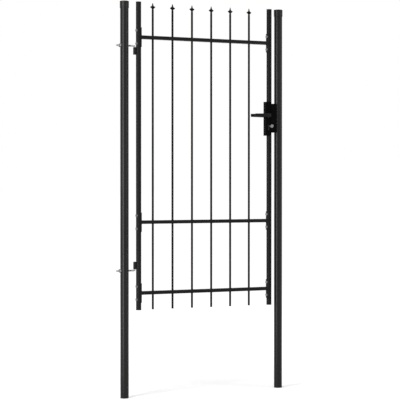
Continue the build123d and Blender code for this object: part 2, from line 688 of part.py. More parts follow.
def lever_spring():
    y = FOLLOWER_HALF + SPRING_WIRE + LATCH_GAP
    spring = coil(LEVER_SPRING_RADIUS, LEVER_SPRING_PITCH, LEVER_SPRING_TURNS)
    return Pos(LOCK_X, y, LEVER_Z) * Rot(-90, 0, 0) * spring


nodes["latch_spring"] = latch_spring()
nodes["lever_spring"] = lever_spring()


# Cylinder, plug, cam, deadbolt and key

def cylinder_body():
    body = across_y(cylinder_profile(), CYLINDER_HALF)
    slot_z = (KEY_Z - CAM_SLOT_FLOOR, KEY_Z + 2 * CYLINDER_RADIUS)
    slot_x = (LOCK_X - 2 * CYLINDER_RADIUS, LOCK_X + 2 * CYLINDER_RADIUS)
    body -= block(slot_x, (-CAM_SLOT_HALF, CAM_SLOT_HALF), slot_z)
    body -= rod_y(PLUG_RADIUS + PIN_GAP, (-CYLINDER_HALF, CYLINDER_HALF), LOCK_X, KEY_Z)
    return body - face_screw(cylinder_screw_z, CYLINDER_SCREW_LENGTH)


def cylinder_plug():
    """Turning core, slim where the cam sits, with a keyway in its front half."""
    end = CYLINDER_HALF + PLUG_PROUD
    plug = rod_y(PLUG_NECK_RADIUS, (-end, end), LOCK_X, KEY_Z)
    for y in ((-end, -CAM_SLOT_HALF), (CAM_SLOT_HALF, end)):
        plug += rod_y(PLUG_RADIUS, y, LOCK_X, KEY_Z)
    x = KEY_THICK / 2 + KEY_GAP
    z = KEY_BLADE_HEIGHT / 2 + KEY_GAP
    return plug - block((LOCK_X - x, LOCK_X + x), (-end, KEY_GAP - KEY_TIP_OUT), (KEY_Z - z, KEY_Z + z))


def cylinder_cam():
    ring = Circle(CAM_RADIUS) + finger(CAM_REACH, CAM_LEAN, CAM_FINGER_HALF) - Circle(PLUG_NECK_RADIUS)
    return Pos(LOCK_X, 0, KEY_Z) * across_y(ring, CAM_HALF)


def deadbolt():
    """Square bolt with a notch in its lower edge for the cam's finger."""
    bolt = block(DEADBOLT_X, (-DEADBOLT_HALF, DEADBOLT_HALF), deadbolt_z)
    notch = LOCK_X + CAM_REACH * sin(radians(CAM_LEAN))
    notch_x = (notch - DEADBOLT_NOTCH_HALF, notch + DEADBOLT_NOTCH_HALF)
    notch_z = (deadbolt_z[0], KEY_Z + DEADBOLT_NOTCH_TOP)
    return bolt - block(notch_x, (-DEADBOLT_HALF, DEADBOLT_HALF), notch_z)


def key():
    """Flat key, standing upright in the keyway, with a rounded bow and a ring hole."""
    thick = (LOCK_X - KEY_THICK / 2, LOCK_X + KEY_THICK / 2)
    half = KEY_BLADE_HEIGHT / 2
    blade = block(thick, (-BOW_OUT[0] - 2.0, -KEY_TIP_OUT), (KEY_Z - half, KEY_Z + half))
    bow = RectangleRounded(BOW_OUT[1] - BOW_OUT[0], BOW_HEIGHT, BOW_CORNER)
    bow_place = Pos(thick[0], -(BOW_OUT[0] + BOW_OUT[1]) / 2, KEY_Z)
    blade += bow_place * extrude(Plane.YZ * bow, amount=KEY_THICK)
    return blade - rod_x(BOW_HOLE_RADIUS, (BOX_X[0], BOX_X[1]), KEY_Z, -BOW_HOLE_OUT)


nodes["cylinder_body"] = cylinder_body()
nodes["cylinder_screw"] = face_screw(cylinder_screw_z, CYLINDER_SCREW_LENGTH)
nodes["cylinder_plug"] = cylinder_plug()
nodes["cylinder_cam"] = cylinder_cam()
nodes["deadbolt"] = deadbolt()
nodes["key"] = key()


# Keep on the latch post

def keep_screw(z):
    """Pan head screw through the back of the keep into the post."""
    seat = KEEP_X[1] - KEEP_SHEET
    return rod_x(KEEP_SCREW_HEAD, (seat - KEEP_SCREW_RADIUS, seat), z) + rod_x(
        KEEP_SCREW_RADIUS, (seat, seat + KEEP_SCREW_LENGTH), z
    )


def keep():
    """Folded box with a stop lip along its front edge, slots for both bolts and holes for a driver."""
    shell = block(KEEP_X, (-KEEP_HALF, KEEP_HALF), KEEP_Z)
    half = KEEP_HALF - KEEP_SHEET
    shell -= block(
        (KEEP_X[0] + KEEP_SHEET, KEEP_X[1] - KEEP_SHEET), (-half, half),
        (KEEP_Z[0] + KEEP_SHEET, KEEP_Z[1] - KEEP_SHEET),
    )
    shell += block((KEEP_LIP_X, KEEP_X[0]), (-KEEP_HALF, -half), KEEP_Z)
    face = (KEEP_X[0], KEEP_X[0] + KEEP_SHEET)
    for bolt_half, bolt_z in ((LATCH_HALF, LATCH_Z), (DEADBOLT_HALF, deadbolt_z)):
        slot = bolt_half + KEEP_SLOT_GAP
        shell -= block(face, (-slot, slot), (bolt_z[0] - KEEP_SLOT_GAP, bolt_z[1] + KEEP_SLOT_GAP))
    for z in keep_screw_z:
        shell -= rod_x(KEEP_ACCESS_RADIUS, face, z)
        shell -= rod_x(KEEP_SCREW_RADIUS, (KEEP_X[1] - KEEP_SHEET, KEEP_X[1]), z)
    return shell


nodes["keep"] = keep()
nodes["keep_screws"] = [keep_screw(z) for z in keep_screw_z]


# Travel of the coupled bolts, for the record

lever_travel = radians(40.0)
latch_travel = FINGER_REACH * (sin(radians(FINGER_LEAN)) - sin(radians(FINGER_LEAN - 40.0)))
deadbolt_travel = -2 * CAM_REACH * sin(radians(CAM_LEAN))
print(f"latch: {latch_travel:.2f} mm, {latch_travel / lever_travel:.3f} mm per radian of lever")
print(f"deadbolt: {deadbolt_travel:.2f} mm, {pi / 2 / deadbolt_travel:.4f} radians of key per mm")

os.makedirs("parts", exist_ok=True)
for name, shape in nodes.items():
    solids = shape if isinstance(shape, list) else [shape]
    pieces = [solid for item in solids for solid in item.solids()]
    export_step(pieces[0] if len(pieces) == 1 else Compound(children=pieces), f"parts/{name}.step")
print(f"{len(nodes)} nodes written")
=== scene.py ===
# %% [markdown]
# # A garden gate
# The gate is a tube frame with round pickets and forged spear heads. It hangs on two hook bolts between two
# capped posts, and a lever lock closes it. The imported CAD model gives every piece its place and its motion,
# so the script only adds finishes and the small shapes that a maker leaves behind, such as threads and welds.

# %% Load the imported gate
import bisect
import json
import math
import random

import bmesh
import bpy
from mathutils import Matrix, Vector


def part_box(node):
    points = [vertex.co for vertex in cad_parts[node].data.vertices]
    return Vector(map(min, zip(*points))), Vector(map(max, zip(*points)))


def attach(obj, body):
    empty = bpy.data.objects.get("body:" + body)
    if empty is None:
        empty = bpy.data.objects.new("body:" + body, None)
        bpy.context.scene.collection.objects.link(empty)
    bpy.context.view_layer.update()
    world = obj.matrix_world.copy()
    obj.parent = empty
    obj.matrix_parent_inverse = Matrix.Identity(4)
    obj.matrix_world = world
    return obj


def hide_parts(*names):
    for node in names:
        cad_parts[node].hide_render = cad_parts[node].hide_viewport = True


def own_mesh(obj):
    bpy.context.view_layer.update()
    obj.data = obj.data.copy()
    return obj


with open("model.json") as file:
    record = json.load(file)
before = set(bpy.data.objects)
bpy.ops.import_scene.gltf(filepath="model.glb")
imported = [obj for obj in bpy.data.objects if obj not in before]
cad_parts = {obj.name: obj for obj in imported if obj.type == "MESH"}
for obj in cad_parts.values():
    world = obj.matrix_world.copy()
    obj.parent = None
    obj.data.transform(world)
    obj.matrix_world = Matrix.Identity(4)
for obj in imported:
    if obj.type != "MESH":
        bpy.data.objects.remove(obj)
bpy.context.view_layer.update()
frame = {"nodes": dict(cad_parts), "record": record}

MM = 0.001
nodes = frame["nodes"]

# %% [markdown]
# ## Camera
# The picture is taken with a long lens from just under nine metres, at chest height and to the left of the
# gate. The camera could be placed by eye, but the posts and rails give exact directions: their vanishing
# points fix the lens and the turn, and the post feet and caps fix the height. The numbers below are that
# solution, in metres and degrees.

# %% Place the camera
CAMERA_PLACE = (-3.5135, -7.8815, 1.2244)
CAMERA_TURN = 26.866
CAMERA_DROP = 0.676
LENS_MM = 137.1
SENSOR_MM = 36.0
FARTHEST_SEEN = 200.0

lens = bpy.data.cameras.new("photo_lens")
lens.lens = LENS_MM
lens.sensor_width = SENSOR_MM
lens.sensor_fit = "HORIZONTAL"
lens.clip_end = FARTHEST_SEEN
camera = bpy.data.objects.new("photo_camera", lens)
camera.location = CAMERA_PLACE
camera.rotation_euler = (math.radians(90.0 - CAMERA_DROP), 0.0, math.radians(-CAMERA_TURN))
bpy.context.scene.collection.objects.link(camera)
bpy.context.scene.camera = camera
bpy.context.scene.view_settings.view_transform = "Standard"
print("camera at", CAMERA_PLACE, "lens", LENS_MM)

# %% [markdown]
# ## Light and floor
# A studio picture of dark tube needs large soft lights, because a tube only shows the reflections that fall
# on it. One tall soft box stands near the gate on its left, so that its line of light runs down each post to
# the foot. A weaker one on the right keeps the far side readable, and a broad one overhead lays a soft shadow
# on the floor. The room itself is white to the eye and in reflections, and dimmer as a light, so the dark
# paint keeps its depth.

# %% Room light
ROOM_LIGHT = 0.40
WHITE = (1.0, 1.0, 1.0, 1.0)


def joined(tree, operation, first, second):
    """The result of a math node on two values."""
    step = tree.nodes.new("ShaderNodeMath")
    step.operation = operation
    tree.links.new(first, step.inputs[0])
    tree.links.new(second, step.inputs[1])
    return step.outputs[0]


def seen_directly(tree):
    """One for a ray that the camera sees by, straight, mirrored or through glass, and nought for others."""
    path = tree.nodes.new("ShaderNodeLightPath").outputs
    seen_or_glossy = joined(tree, "MAXIMUM", path["Is Camera Ray"], path["Is Glossy Ray"])
    return joined(tree, "MAXIMUM", seen_or_glossy, path["Is Transmission Ray"])


world = bpy.data.worlds.new("studio_room")
bpy.context.scene.world = world
world.use_nodes = True
room = world.node_tree
room.nodes.clear()
room_mix = room.nodes.new("ShaderNodeMixShader")
room.links.new(seen_directly(room), room_mix.inputs["Fac"])
# The mix takes its first shader for rays that light things and its second for rays that are seen.
for socket, strength in ((1, ROOM_LIGHT), (2, 1.0)):
    backdrop = room.nodes.new("ShaderNodeBackground")
    backdrop.inputs["Color"].default_value = WHITE
    backdrop.inputs["Strength"].default_value = strength
    room.links.new(backdrop.outputs[0], room_mix.inputs[socket])
room_out = room.nodes.new("ShaderNodeOutputWorld")
room.links.new(room_mix.outputs[0], room_out.inputs["Surface"])
print("room light", ROOM_LIGHT)

# %% Soft boxes
GATE_MIDDLE = Vector((0.5, 0.0, 1.1))
# Place and width by height in metres, and power in watts.
SOFT_BOXES = {
    "left_soft_box": ((-2.0, -1.15, 1.36), (0.85, 2.7), 82.0),
    "right_soft_box": ((4.6, -4.8, 2.2), (1.2, 4.0), 60.0),
    "top_soft_box": ((0.4, -0.6, 5.2), (3.5, 2.5), 110.0),
}


def soft_box(name, place, size, watts):
    """A rectangular lamp that faces the middle of the gate."""
    lamp = bpy.data.lights.new(name, "AREA")
    lamp.shape = "RECTANGLE"
    lamp.size, lamp.size_y = size
    lamp.energy = watts
    holder = bpy.data.objects.new(name, lamp)
    holder.location = place
    aim = (GATE_MIDDLE - Vector(place)).to_track_quat("-Z", "Y")
    holder.rotation_euler = aim.to_euler()
    bpy.context.scene.collection.objects.link(holder)


for name, (place, size, watts) in SOFT_BOXES.items():
    soft_box(name, place, size, watts)
print("soft boxes:", len(SOFT_BOXES))

# %% [markdown]
# ### Floor
# The floor is white paper that runs to the horizon. Lit by the lamps alone it would be grey far away, and a
# floor that only glows would hold no shadow. So the paper is an ordinary pale surface with a glow added, weak
# near the gate, where the shadow lies, and stronger further off.

# %% Lay the floor
FLOOR_SIZE = 400.0
PAPER = (0.9, 0.9, 0.9, 1.0)
GLOW_NEAR = 0.20
GLOW_FAR = 0.66
NEAR_REACH = 0.9
FAR_REACH = 3.0


def between(tree, factor, low, high, start=0.3, end=0.7):
    """A number that runs from low to high as the factor runs from start to end."""
    step = tree.nodes.new("ShaderNodeMapRange")
    step.inputs["From Min"].default_value = start
    step.inputs["From Max"].default_value = end
    step.inputs["To Min"].default_value = low
    step.inputs["To Max"].default_value = high
    tree.links.new(factor, step.inputs["Value"])
    return step.outputs["Result"]


def floor_paper():
    """Matt white paper that glows a little to the eye, more so far from the gate."""
    paper = bpy.data.materials.new("white_paper")
    paper.use_nodes = True
    tree = paper.node_tree
    tree.nodes.clear()
    matt = tree.nodes.new("ShaderNodeBsdfDiffuse")
    matt.inputs["Color"].default_value = PAPER
    away = tree.nodes.new("ShaderNodeVectorMath")
    away.operation = "LENGTH"
    tree.links.new(tree.nodes.new("ShaderNodeTexCoord").outputs["Object"], away.inputs[0])
    level = between(tree, away.outputs["Value"], GLOW_NEAR, GLOW_FAR, start=NEAR_REACH, end=FAR_REACH)
    glow = tree.nodes.new("ShaderNodeEmission")
    glow.inputs["Color"].default_value = WHITE
    tree.links.new(joined(tree, "MULTIPLY", level, seen_directly(tree)), glow.inputs["Strength"])
    both = tree.nodes.new("ShaderNodeAddShader")
    tree.links.new(matt.outputs[0], both.inputs[0])
    tree.links.new(glow.outputs[0], both.inputs[1])
    paper_out = tree.nodes.new("ShaderNodeOutputMaterial")
    tree.links.new(both.outputs[0], paper_out.inputs["Surface"])
    return paper


floor_mesh = bpy.data.meshes.new("studio_floor")
half = FLOOR_SIZE / 2
floor_corners = [(-half, -half, 0.0), (half, -half, 0.0), (half, half, 0.0), (-half, half, 0.0)]
floor_mesh.from_pydata(floor_corners, [], [(0, 1, 2, 3)])
floor_mesh.materials.append(floor_paper())
floor = bpy.data.objects.new("studio_floor", floor_mesh)
bpy.context.scene.collection.objects.link(floor)
print("floor", FLOOR_SIZE, "m")

# %% [markdown]
# ## Finishes
# Powder coat, zinc plate and moulded plastic are all one colour from far away, and none of them is from close
# by. Each has a slow drift in tone, a patchy gloss and a fine skin. A picture texture could carry that, but
# noise in object space needs no unwrapping, keeps its true scale in millimetres and has no seams, so one
# recipe with different numbers serves every finish here.

# %% The recipe for a finish
EVEN = (1.0, 1.0, 1.0)


def start_finish(name, metal=0.0, shine=0.5):
    """An empty finish: a principled shader and object coordinates."""
    finish = bpy.data.materials.new(name)
    finish.use_nodes = True
    tree = finish.node_tree
    shader = tree.nodes["Principled BSDF"]
    shader.inputs["Metallic"].default_value = metal
    shader.inputs["Specular IOR Level"].default_value = shine
    place = tree.nodes.new("ShaderNodeTexCoord")
    return finish, tree, shader, place.outputs["Object"]


def noise(tree, place, size_mm, stretch=EVEN, detail=3.0):
    """Noise whose blotches are about size_mm across, longer along an axis where stretch is above one."""
    turn = tree.nodes.new("ShaderNodeMapping")
    turn.inputs["Scale"].default_value = tuple(1.0 / s for s in stretch)
    grain = tree.nodes.new("ShaderNodeTexNoise")
    grain.inputs["Scale"].default_value = 1.0 / (size_mm * MM)
    grain.inputs["Detail"].default_value = detail
    tree.links.new(place, turn.inputs["Vector"])
    tree.links.new(turn.outputs["Vector"], grain.inputs["Vector"])
    return grain.outputs["Fac"]


def tint(tree, factor, dark, light, start=0.3, end=0.7):
    """A colour that runs from dark to light as the factor rises."""
    ramp = tree.nodes.new("ShaderNodeValToRGB")
    ramp.color_ramp.elements[0].position = start
    ramp.color_ramp.elements[0].color = (*dark, 1.0)
    ramp.color_ramp.elements[1].position = end
    ramp.color_ramp.elements[1].color = (*light, 1.0)
    tree.links.new(factor, ramp.inputs["Fac"])
    return ramp.outputs["Color"]


def skin(tree, shader, layers):
    """Bumps stacked on each other; each layer is (height source, depth in mm, strength)."""
    below = None
    for height, depth_mm, strength in layers:
        bump = tree.nodes.new("ShaderNodeBump")
        bump.inputs["Distance"].default_value = depth_mm * MM
        bump.inputs["Strength"].default_value = strength
        tree.links.new(height, bump.inputs["Height"])
        if below is not None:
            tree.links.new(below, bump.inputs["Normal"])
        below = bump.outputs["Normal"]
    tree.links.new(below, shader.inputs["Normal"])


print("finish recipe ready")

# %% [markdown]
# ### Powder coat
# The posts and the leaf are coated in a black powder that is baked on. It flows a little before it sets,
# which leaves a fine orange peel, and its gloss drifts along a tube. A plain black would lose all of that, so
# the tone drifts slowly along the tube, the gloss is patchy, and two sizes of noise raise the skin. Surfaces
# that face up hold a trace of dust.

# %% Powder coat
COAT_DRIFT_MM = 90.0
COAT_PATCH_MM = 14.0
COAT_PEEL = {"size_mm": 2.6, "depth_mm": 0.05, "strength": 0.20}
COAT_GRIT = {"size_mm": 0.55, "depth_mm": 0.02, "strength": 0.20}
COAT_GLOSS_SWING = (-0.05, 0.06)
DUST_COLOUR = (0.20, 0.195, 0.185, 1.0)
DUST_MOST = 0.16
DUST_FROM_TILT = 0.55


def raised(tree, place, layer, stretch=EVEN):
    """A layer for a finish's skin: noise of a size, with its depth and strength."""
    return noise(tree, place, layer["size_mm"], stretch, detail=2.0), layer["depth_mm"], layer["strength"]


def gloss(tree, shader, patchy, rough, swing):
    """Roughness that swings about its middle value from patch to patch."""
    low, high = (rough + step for step in swing)
    tree.links.new(between(tree, patchy, low, high), shader.inputs["Roughness"])


def dusted(tree, paint, patchy):
    """The paint with patches of dust where the surface faces up."""
    facing = tree.nodes.new("ShaderNodeNewGeometry")
    upward = tree.nodes.new("ShaderNodeSeparateXYZ")
    tree.links.new(facing.outputs["Normal"], upward.inputs["Vector"])
    dust = between(tree, upward.outputs["Z"], 0.0, DUST_MOST, start=DUST_FROM_TILT, end=1.0)
    mix = tree.nodes.new("ShaderNodeMix")
    mix.data_type = "RGBA"
    mix.inputs["B"].default_value = DUST_COLOUR
    tree.links.new(joined(tree, "MULTIPLY", dust, patchy), mix.inputs["Factor"])
    tree.links.new(paint, mix.inputs["A"])
    return mix.outputs["Result"]


def powder_coat(name, dark, light, rough, shine, stretch=EVEN):
    """Baked black powder; dark and light are the ends of its grey."""
    finish, tree, shader, place = start_finish(name, shine=shine)
    drift = noise(tree, place, COAT_DRIFT_MM, stretch, detail=4.0)
    paint = tint(tree, drift, (dark,) * 3, (light,) * 3)
    patchy = noise(tree, place, COAT_PATCH_MM, detail=5.0)
    tree.links.new(dusted(tree, paint, patchy), shader.inputs["Base Color"])
    gloss(tree, shader, patchy, rough, COAT_GLOSS_SWING)
    skin(tree, shader, [raised(tree, place, COAT_PEEL), raised(tree, place, COAT_GRIT)])
    return finish


UPRIGHT = (1.0, 1.0, 7.0)
SIDEWAYS = (7.0, 1.0, 1.0)
post_paint = powder_coat("post_powder_coat", 0.0060, 0.0090, 0.27, 0.15, UPRIGHT)
leaf_paint = powder_coat("leaf_powder_coat", 0.0078, 0.0106, 0.31, 0.05, UPRIGHT)
picket_paint = powder_coat("picket_powder_coat", 0.0045, 0.0064, 0.31, 0.035, UPRIGHT)
rail_paint = powder_coat("rail_powder_coat", 0.0078, 0.0106, 0.31, 0.05, SIDEWAYS)
lock_paint = powder_coat("lock_black_coat", 0.0014, 0.0024, 0.44, 0.015)
lever_paint = powder_coat("lever_satin_coat", 0.0070, 0.0100, 0.30, 0.07, SIDEWAYS)
print("powder coats mixed")

# %% [markdown]
# ### Plastic and metal
# Caps, plugs and bushes are moulded plastic with a spark-eroded skin: dull, even and slightly grainy. Screws,
# nuts and hooks are zinc plated, so they are metal with cloudy patches and a soft, worn gloss. The lock's
# working pieces are plain machined steel, which carries fine lines along the way it was drawn or ground.

# %% Moulded plastic
PLASTIC_CLOUD_MM = 25.0
PLASTIC_FLOW = {"size_mm": 9.0, "depth_mm": 0.06, "strength": 0.25}
PLASTIC_SPARK = {"size_mm": 0.7, "depth_mm": 0.03, "strength": 0.5}
PLASTIC_GLOSS_SWING = (-0.04, 0.05)
FLOW_STRETCH = (1.0, 1.0, 3.0)


def moulded_plastic(name, dark, light, rough, shine):
    """Black plastic from a mould; dark and light are the ends of its grey."""
    finish, tree, shader, place = start_finish(name, shine=shine)
    cloud = noise(tree, place, PLASTIC_CLOUD_MM)
    tree.links.new(tint(tree, cloud, (dark,) * 3, (light,) * 3), shader.inputs["Base Color"])
    gloss(tree, shader, cloud, rough, PLASTIC_GLOSS_SWING)
    flow = raised(tree, place, PLASTIC_FLOW, FLOW_STRETCH)
    skin(tree, shader, [flow, raised(tree, place, PLASTIC_SPARK)])
    return finish


cap_plastic = moulded_plastic("cap_plastic", 0.0085, 0.0120, 0.28, 0.15)
plug_plastic = moulded_plastic("plug_plastic", 0.0085, 0.0125, 0.42, 0.06)
bush_plastic = moulded_plastic("bush_nylon", 0.007, 0.011, 0.45, 0.30)
print("plastics mixed")

# %% Zinc and steel
METAL_PATCH_PER_CLOUD = 2.3
METAL_GLOSS_SWING = (-0.07, 0.1)
METAL_PLATE = {"size_mm": 0.25, "depth_mm": 0.012, "strength": 0.25}
METAL_LINES = {"size_mm": 0.25, "depth_mm": 0.012, "strength": 0.5}


def plated_metal(name, dark, light, rough, cloud_mm=3.0, lines=None):
    """Bare or plated metal; lines is the stretch of fine grinding marks, left out on smooth plate."""
    finish, tree, shader, place = start_finish(name, metal=1.0)
    cloud = noise(tree, place, cloud_mm, detail=4.0)
    tree.links.new(tint(tree, cloud, dark, light), shader.inputs["Base Color"])
    patchy = noise(tree, place, cloud_mm * METAL_PATCH_PER_CLOUD)
    gloss(tree, shader, patchy, rough, METAL_GLOSS_SWING)
    fine = raised(tree, place, METAL_LINES, lines) if lines else raised(tree, place, METAL_PLATE)
    skin(tree, shader, [fine])
    return finish


ALONG_X = (30.0, 1.0, 1.0)
ALONG_Y = (1.0, 30.0, 1.0)
zinc = plated_metal("zinc_plate", (0.132, 0.135, 0.139), (0.30, 0.304, 0.31), 0.34)
hook_zinc = plated_metal("bright_zinc_plate", (0.19, 0.193, 0.197), (0.43, 0.434, 0.44), 0.32)
lock_steel = plated_metal("machined_steel", (0.36, 0.36, 0.355), (0.5, 0.5, 0.49), 0.30, 5.0, ALONG_X)
sheet_steel = plated_metal("galvanised_sheet", (0.4, 0.405, 0.41), (0.6, 0.6, 0.6), 0.42, 7.0)
spring_wire = plated_metal("spring_wire", (0.2, 0.2, 0.2), (0.34, 0.34, 0.34), 0.35)
cylinder_nickel = plated_metal(
    "cylinder_nickel", (0.008, 0.008, 0.008), (0.016, 0.016, 0.0155), 0.36, 4.0, ALONG_Y
)
key_nickel = plated_metal("key_nickel", (0.19, 0.188, 0.182), (0.31, 0.306, 0.298), 0.30, 4.0, ALONG_Y)
print("metals mixed")

# %% [markdown]
# ## Finishes on the CAD pieces
# Each CAD piece keeps its shape and takes the finish of its slot, or one of its own where a maker would treat
# it apart. The solids have knife-sharp edges, which no coated edge has: powder pulls back from an edge and
# rounds it. A bevel on the live piece gives each edge its line of light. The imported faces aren't joined to
# each other, so a weld goes under the bevel.

# %% Hand out the finishes
SLOT_FINISH = {
    "post_paint": post_paint,
    "cap_plastic": cap_plastic,
    "leaf_paint": leaf_paint,
    "plug_plastic": plug_plastic,
    "zinc": zinc,
    "lock_paint": lock_paint,
    "lever_paint": lever_paint,
    "lock_steel": lock_steel,
    "sheet_steel": sheet_steel,
    "spring_steel": spring_wire,
    "cylinder_nickel": cylinder_nickel,
    "key_nickel": key_nickel,
    "bush_plastic": bush_plastic,
}
PICKET_COUNT = 6
PICKETS = [f"picket_{number}" for number in range(1, PICKET_COUNT + 1)]
RAILS = ("top_rail", "middle_rail", "bottom_rail")
OWN_FINISH = {name: rail_paint for name in RAILS}
OWN_FINISH.update({name: picket_paint for name in PICKETS})
OWN_FINISH["hinge_washers"] = hook_zinc
for part in frame["record"]["subparts"]:
    piece = nodes[part["node"]]
    finish = OWN_FINISH.get(part["node"], SLOT_FINISH[part["material_slot"]])
    for slot in piece.material_slots:
        slot.material = finish

# %% Soften the edges
JOIN_MM = 0.002
SHARP_EDGE = math.radians(32.0)
ROUND_STEPS = 2
SADDLES = [f"{rail}_{side}_saddle" for rail in ("top", "middle", "bottom") for side in ("hinge", "latch")]
EDGE_ROUNDS = {name: 0.7 for name in SADDLES}
EDGE_ROUNDS.update({"lock_box": 0.5, "keep": 0.6, "upper_knuckle": 0.7, "lower_knuckle": 0.7})
EDGE_ROUNDS.update({"hinge_washers": 0.35, "lock_face_plate": 0.3, "latch_bolt": 0.5, "deadbolt": 0.5})
EDGE_ROUNDS.update({"lever_bushes": 0.4, "cylinder_body": 0.35})


def soften(name, width_mm):
    """A small round on every sharp edge of a CAD piece, as a live modifier."""
    piece = nodes[name]
    join = piece.modifiers.new("join_faces", "WELD")
    join.merge_threshold = JOIN_MM * MM
    edge = piece.modifiers.new("round_edges", "BEVEL")
    edge.width = width_mm * MM
    edge.segments = ROUND_STEPS
    edge.limit_method = "ANGLE"
    edge.angle_limit = SHARP_EDGE
    edge.harden_normals = True
    edge.use_clamp_overlap = True


for name, width_mm in EDGE_ROUNDS.items():
    soften(name, width_mm)
print("edges rounded on", len(EDGE_ROUNDS), "pieces")

# %% [markdown]
# ## New pieces
# A piece of our own is a mesh in the gate's frame, with a finish and the body that it rides on. One small
# function does that for all of them, so nothing is left behind when the leaf swings. The places could be
# typed in, but a change to the CAD model would then leave the new pieces hanging in the air, so each place is
# read from the box round a imported piece.

# %% Measure the imported pieces


def box_mm(node):
    """The lowest and the highest corner of a CAD piece, in millimetres."""
    low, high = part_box(node)
    return low / MM, high / MM


def middle_mm(node):
    """The middle of a CAD piece, in millimetres."""
    low, high = box_mm(node)
    return (low + high) / 2


RAILS_MM = [box_mm(name) for name in RAILS]
PICKETS_MM = [middle_mm(name).x for name in PICKETS]
print("rail heights:", [round((low.z + high.z) / 2) for low, high in RAILS_MM])
print("picket places:", [round(x) for x in PICKETS_MM])

# %% A home for a new piece


def link_mesh(name, maker):
    """Turns a bmesh into an object in the scene."""
    mesh = bpy.data.meshes.new(name)
    bmesh.ops.recalc_face_normals(maker, faces=maker.faces)
    maker.to_mesh(mesh)
    maker.free()
    piece = bpy.data.objects.new(name, mesh)
    bpy.context.scene.collection.objects.link(piece)
    return piece


def keep_piece(name, maker, finish, body, smooth_angle=40.0):
    """Turns a bmesh into a piece of the gate that rides on a body."""
    piece = link_mesh(name, maker)
    piece.data.materials.append(finish)
    for face in piece.data.polygons:
        face.use_smooth = True
    piece.data.set_sharp_from_angle(angle=math.radians(smooth_angle))
    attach(piece, body)
    print(name, "faces:", len(piece.data.polygons))
    return piece


def turns(count):
    """Evenly spaced angles round a circle."""
    return [2 * math.pi * i / count for i in range(count)]


def round_ring(middle, side, lift, radii):
    """Points round a middle, in metres, one for each radius in millimetres."""
    ring = []
    for angle, radius in zip(turns(len(radii)), radii):
        ring.append((middle + radius * (side * math.cos(angle) + lift * math.sin(angle))) * MM)
    return ring


def skin_rings(maker, rings, closed=False):
    """Joins rings of points, all of one length, into a tube with flat ends or into a closed loop."""
    made = [[maker.verts.new(point) for point in ring] for ring in rings]
    count = len(made[0])
    pairs = list(zip(made, made[1:]))
    if closed:
        pairs.append((made[-1], made[0]))
    for low, high in pairs:
        for i in range(count):
            j = (i + 1) % count
            maker.faces.new((low[i], low[j], high[j], high[i]))
    if not closed:
        maker.faces.new(made[0][::-1])
        maker.faces.new(made[-1])


print("piece maker ready")

# %% [markdown]
# ## Hook bolts
# Each hinge hook is a ten millimetre bar, threaded along its straight leg, pushed through the post and bent
# into an upright pin: the upper one points down and the lower one up, so that the leaf can't be lifted off. A
# screw modifier could wind a thread, but the bend would then be a second piece with a seam. Here one skin
# follows the whole bar: rings along its line, and on the leg the radius dips once per turn.

# %% Wind the hook bolts
HOOK_WAYS = {"upper_hinge_hook": -1.0, "lower_hinge_hook": 1.0}
HOOK_BEND = 7.5
BEND_STEPS = 12
PIN_CHAMFER = 1.2
THREAD_PITCH = 1.5
THREAD_DEPTH = 0.85
THREAD_SHORT_OF_PIN = 20.0
THREAD_RUNOUT = 3.0
THREAD_LEAD = 1.0
GROOVE_WIDTH = 1.25
GROOVE_SLOPE = 3.2
RINGS_PER_TURN = 8
BAR_POINTS = 32
ALONG_LEG = Vector((1.0, 0.0, 0.0))
ACROSS = Vector((0.0, 1.0, 0.0))


def limited(value):
    """The value, kept between nought and one."""
    return min(1.0, max(0.0, value))


def thread_dip(along, left, angle):
    """How far the thread cuts in, given the lengths of thread before and after; its start is chamfered."""
    phase = (along / THREAD_PITCH - angle / (2 * math.pi)) % 1.0
    groove = limited(GROOVE_WIDTH - abs(phase - 0.5) * GROOVE_SLOPE)
    lead = limited(along / THREAD_LEAD)
    return THREAD_DEPTH * (groove * limited(left / THREAD_RUNOUT) * lead + 1.0 - lead)


def bar_ring(centre, heading, radii):
    """A ring square to the bar's heading."""
    return round_ring(centre, ACROSS, heading.cross(ACROSS), radii)


def hook_size(name):
    """A hook's bar radius and the height of its leg, which is at the end away from the tip of its pin."""
    low, high = box_mm(name)
    radius = (high.y - low.y) / 2
    return radius, low.z + radius if HOOK_WAYS[name] > 0 else high.z - radius


def hook_bolt(name):
    """A bar that is threaded along its leg and bent up or down into a pin."""
    low, high = box_mm(name)
    way = HOOK_WAYS[name]
    radius, leg_z = hook_size(name)
    pin_x = high.x - radius
    pin_z = high.z if way > 0 else low.z
    thread_length = pin_x - THREAD_SHORT_OF_PIN - low.x
    step = THREAD_PITCH / RINGS_PER_TURN
    rings = []
    for i in range(math.ceil(thread_length / step)):
        along = i * step
        radii = [radius - thread_dip(along, thread_length - along, angle) for angle in turns(BAR_POINTS)]
        rings.append(bar_ring(Vector((low.x + along, 0.0, leg_z)), ALONG_LEG, radii))
    plain = [radius] * BAR_POINTS
    for i in range(BEND_STEPS + 1):
        angle = math.pi / 2 * i / BEND_STEPS
        x = pin_x - HOOK_BEND * (1.0 - math.sin(angle))
        z = leg_z + way * HOOK_BEND * (1.0 - math.cos(angle))
        heading = Vector((math.cos(angle), 0.0, way * math.sin(angle)))
        rings.append(bar_ring(Vector((x, 0.0, z)), heading, plain))
    for short, shrink in ((PIN_CHAMFER, 0.0), (0.0, PIN_CHAMFER)):
        end = Vector((pin_x, 0.0, pin_z - way * short))
        rings.append(bar_ring(end, Vector((0.0, 0.0, way)), [radius - shrink] * BAR_POINTS))
    maker = bmesh.new()
    skin_rings(maker, rings)
    piece = keep_piece(name + "_threaded", maker, hook_zinc, "posts", smooth_angle=50.0)
    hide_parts(name)


for name in HOOK_WAYS:
    hook_bolt(name)

